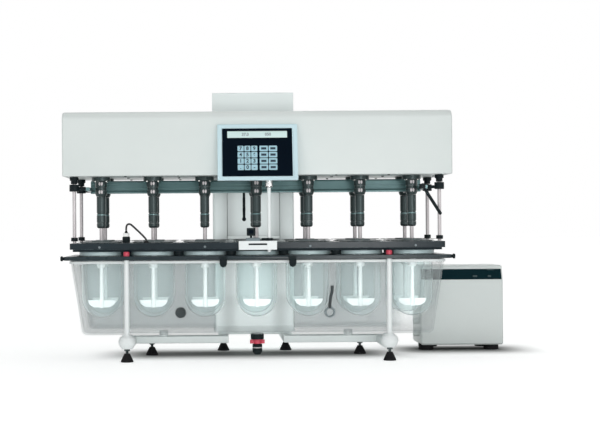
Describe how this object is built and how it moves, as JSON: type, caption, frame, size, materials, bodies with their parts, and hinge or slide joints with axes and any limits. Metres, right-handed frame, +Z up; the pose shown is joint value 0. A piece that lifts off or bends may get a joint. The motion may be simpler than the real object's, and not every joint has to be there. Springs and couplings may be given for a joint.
{
  "type": "tablet dissolution tester",
  "caption": "Bench tablet dissolution tester: paddles hang from a lifting drive head into glass vessels in a clear water bath, with a separate heating circulator beside it.",
  "frame": {"origin": "middle of the base of the whole set, on the bench", "axes": "+Z up, +X to the right along the vessel rows, -Y towards the user"},
  "size_m": [1.191, 0.525, 0.722],
  "materials": {
    "pale_paint": "satin powder coat",
    "dark_plate": "semi-gloss",
    "black_plastic": "satin",
    "clear_plastic": "clear, polished",
    "glass": "clear, fire polished",
    "steel": "ground",
    "teal_metal": "dark anodised",
    "spindle_grey": "dark, satin",
    "panel_blue": "satin",
    "key_blue": "membrane",
    "white_plastic": "satin",
    "red_plastic": "satin",
    "rubber": "matt"
  },
  "bodies": {
    "base": {"base_frame": "pale_paint", "column_housing": "pale_paint", "bath_tank": "clear_plastic", "bath_rim": "black_plastic", "vessel_plate": "dark_plate", "vessel_01": "glass", "vessel_02": "glass", "vessel_03": "glass", "vessel_04": "glass", "vessel_05": "glass", "vessel_06": "glass", "vessel_07": "glass", "vessel_08": "glass", "vessel_09": "glass", "vessel_10": "glass", "vessel_11": "glass", "vessel_12": "glass", "vessel_13": "glass", "vessel_14": "glass", "support_post_left": "white_plastic", "support_post_right": "white_plastic", "guide_rod_front_left": "steel", "guide_rod_rear_left": "steel", "guide_rod_front_right": "steel", "guide_rod_rear_right": "steel", "drain_valve": "black_plastic", "circulator_case": "pale_paint", "circulator_fascia": "dark_plate", "temperature_probe": "black_plastic", "probe_cable": "black_plastic", "pipe_holder": "white_plastic"},
    "head": {"head_cover": "pale_paint", "head_chassis": "spindle_grey", "control_panel": "panel_blue", "keypad": "key_blue", "head_mast": "pale_paint", "drive_motor": "black_plastic", "drive_belt": "rubber", "sampling_pipe": "white_plastic"},
    "motor": {"motor_pulley": "steel"},
    "manifold": {"manifold_beam": "teal_metal"},
    "lever": {"manifold_lever": "black_plastic"},
    "button_left": {"turn_button_left": "black_plastic"},
    "button_right": {"turn_button_right": "black_plastic"},
    "tap": {"drain_handle": "red_plastic"},
    "clamp": {"pipe_clamp": "black_plastic"},
    "spindle_01": {"spindle_01": "spindle_grey"},
    "spindle_02": {"spindle_02": "spindle_grey"},
    "spindle_03": {"spindle_03": "spindle_grey"},
    "spindle_04": {"spindle_04": "spindle_grey"},
    "spindle_05": {"spindle_05": "spindle_grey"},
    "spindle_06": {"spindle_06": "spindle_grey"},
    "spindle_07": {"spindle_07": "spindle_grey"},
    "spindle_08": {"spindle_08": "spindle_grey"},
    "spindle_09": {"spindle_09": "spindle_grey"},
    "spindle_10": {"spindle_10": "spindle_grey"},
    "spindle_11": {"spindle_11": "spindle_grey"},
    "spindle_12": {"spindle_12": "spindle_grey"},
    "spindle_13": {"spindle_13": "spindle_grey"},
    "spindle_14": {"spindle_14": "spindle_grey"}
  },
  "joints": [
    {"name": "head_lift", "type": "slide", "parent": "base", "child": "head", "axis": [0, 0, 1], "range_m": [0, 0.25]},
    {"name": "spindle_01_turn", "type": "hinge", "parent": "head", "child": "spindle_01", "pos_m": [-0.5025, -0.118, 0.45], "axis": [0, 0, 1], "continuous": true},
    {"name": "spindle_02_turn", "type": "hinge", "parent": "head", "child": "spindle_02", "pos_m": [-0.3665, -0.118, 0.45], "axis": [0, 0, 1], "continuous": true},
    {"name": "spindle_03_turn", "type": "hinge", "parent": "head", "child": "spindle_03", "pos_m": [-0.2305, -0.118, 0.45], "axis": [0, 0, 1], "continuous": true},
    {"name": "spindle_04_turn", "type": "hinge", "parent": "head", "child": "spindle_04", "pos_m": [-0.0945, -0.118, 0.45], "axis": [0, 0, 1], "continuous": true},
    {"name": "spindle_05_turn", "type": "hinge", "parent": "head", "child": "spindle_05", "pos_m": [0.0415, -0.118, 0.45], "axis": [0, 0, 1], "continuous": true},
    {"name": "spindle_06_turn", "type": "hinge", "parent": "head", "child": "spindle_06", "pos_m": [0.1775, -0.118, 0.45], "axis": [0, 0, 1], "continuous": true},
    {"name": "spindle_07_turn", "type": "hinge", "parent": "head", "child": "spindle_07", "pos_m": [0.3135, -0.118, 0.45], "axis": [0, 0, 1], "continuous": true},
    {"name": "spindle_08_turn", "type": "hinge", "parent": "head", "child": "spindle_08", "pos_m": [-0.5025, 0.019, 0.45], "axis": [0, 0, 1], "continuous": true},
    {"name": "spindle_09_turn", "type": "hinge", "parent": "head", "child": "spindle_09", "pos_m": [-0.3665, 0.019, 0.45], "axis": [0, 0, 1], "continuous": true},
    {"name": "spindle_10_turn", "type": "hinge", "parent": "head", "child": "spindle_10", "pos_m": [-0.2305, 0.019, 0.45], "axis": [0, 0, 1], "continuous": true},
    {"name": "spindle_11_turn", "type": "hinge", "parent": "head", "child": "spindle_11", "pos_m": [-0.0945, 0.019, 0.45], "axis": [0, 0, 1], "continuous": true},
    {"name": "spindle_12_turn", "type": "hinge", "parent": "head", "child": "spindle_12", "pos_m": [0.0415, 0.019, 0.45], "axis": [0, 0, 1], "continuous": true},
    {"name": "spindle_13_turn", "type": "hinge", "parent": "head", "child": "spindle_13", "pos_m": [0.1775, 0.019, 0.45], "axis": [0, 0, 1], "continuous": true},
    {"name": "spindle_14_turn", "type": "hinge", "parent": "head", "child": "spindle_14", "pos_m": [0.3135, 0.019, 0.45], "axis": [0, 0, 1], "continuous": true},
    {"name": "motor_turn", "type": "hinge", "parent": "head", "child": "motor", "pos_m": [0.3605, -0.0495, 0.53], "axis": [0, 0, 1], "continuous": true},
    {"name": "manifold_drop", "type": "slide", "parent": "base", "child": "manifold", "axis": [0, 0, -1], "range_m": [0, 0.03]},
    {"name": "lever_turn", "type": "hinge", "parent": "manifold", "child": "lever", "pos_m": [0.3355, -0.1715, 0.449], "axis": [0, 1, 0], "range_deg": [-40, 30]},
    {"name": "button_left_turn", "type": "hinge", "parent": "base", "child": "button_left", "pos_m": [-0.1835, -0.2145, 0.26715], "axis": [0, 1, 0], "range_deg": [-90, 90]},
    {"name": "button_right_turn", "type": "hinge", "parent": "base", "child": "button_right", "pos_m": [-0.0055, -0.2145, 0.26715], "axis": [0, 1, 0], "range_deg": [-90, 90]},
    {"name": "tap_turn", "type": "hinge", "parent": "base", "child": "tap", "pos_m": [-0.0945, -0.1145, 0.044], "axis": [0, 0, 1], "range_deg": [0, 90]},
    {"name": "clamp_turn", "type": "hinge", "parent": "base", "child": "clamp", "pos_m": [-0.0645, -0.2025, 0.314], "axis": [0, 0, 1], "range_deg": [-60, 60]}
  ],
  "couplings": [
    {"joint": "spindle_02_turn", "follows": "spindle_01_turn", "ratio": 1},
    {"joint": "spindle_03_turn", "follows": "spindle_01_turn", "ratio": 1},
    {"joint": "spindle_04_turn", "follows": "spindle_01_turn", "ratio": 1},
    {"joint": "spindle_05_turn", "follows": "spindle_01_turn", "ratio": 1},
    {"joint": "spindle_06_turn", "follows": "spindle_01_turn", "ratio": 1},
    {"joint": "spindle_07_turn", "follows": "spindle_01_turn", "ratio": 1},
    {"joint": "spindle_08_turn", "follows": "spindle_01_turn", "ratio": 1},
    {"joint": "spindle_09_turn", "follows": "spindle_01_turn", "ratio": 1},
    {"joint": "spindle_10_turn", "follows": "spindle_01_turn", "ratio": 1},
    {"joint": "spindle_11_turn", "follows": "spindle_01_turn", "ratio": 1},
    {"joint": "spindle_12_turn", "follows": "spindle_01_turn", "ratio": 1},
    {"joint": "spindle_13_turn", "follows": "spindle_01_turn", "ratio": 1},
    {"joint": "spindle_14_turn", "follows": "spindle_01_turn", "ratio": 1},
    {"joint": "motor_turn", "follows": "spindle_01_turn", "ratio": 1}
  ]
}
